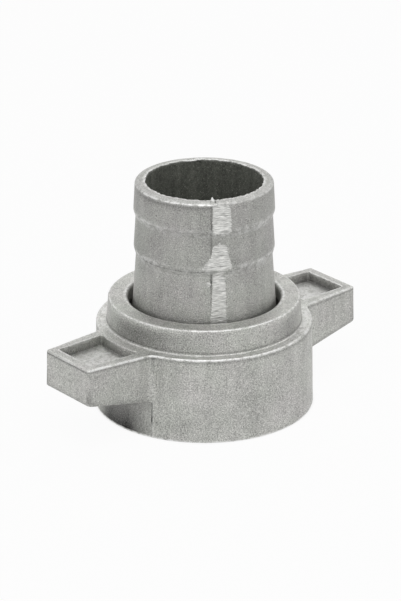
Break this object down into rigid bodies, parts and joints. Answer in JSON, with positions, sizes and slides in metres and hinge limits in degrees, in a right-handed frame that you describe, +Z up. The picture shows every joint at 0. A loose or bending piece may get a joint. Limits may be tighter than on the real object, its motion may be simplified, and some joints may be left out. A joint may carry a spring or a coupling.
{
  "type": "hose coupling half",
  "caption": "Half of a quarter-turn hose coupling: a barbed hose tail swivelling in a cast collar with wings and inner bayonet ramps.",
  "frame": {"origin": "middle of the collar's foot, on the plane it stands on", "axes": "+Z up along the waterway and swivel axis towards the hose end, X through the two wings"},
  "size_m": [0.125, 0.0798, 0.0857],
  "materials": {
    "tail_casting": "shot-blasted sand casting, parting line filed flat in patches",
    "collar_casting": "shot-blasted sand casting, edges worn bright",
    "seal_rubber": "matt moulded black rubber"
  },
  "bodies": {
    "collar": {"locking_collar": "collar_casting"},
    "washer": {"sealing_washer": "seal_rubber"},
    "tail": {"hose_tail": "tail_casting"}
  },
  "joints": [
    {"name": "tail_travel", "type": "slide", "parent": "collar", "child": "washer", "axis": [0, 0, 1], "range_m": [0, 0.026]},
    {"name": "swivel", "type": "hinge", "parent": "washer", "child": "tail", "pos_m": [0, 0, 0.002], "axis": [0, 0, 1], "continuous": true}
  ]
}
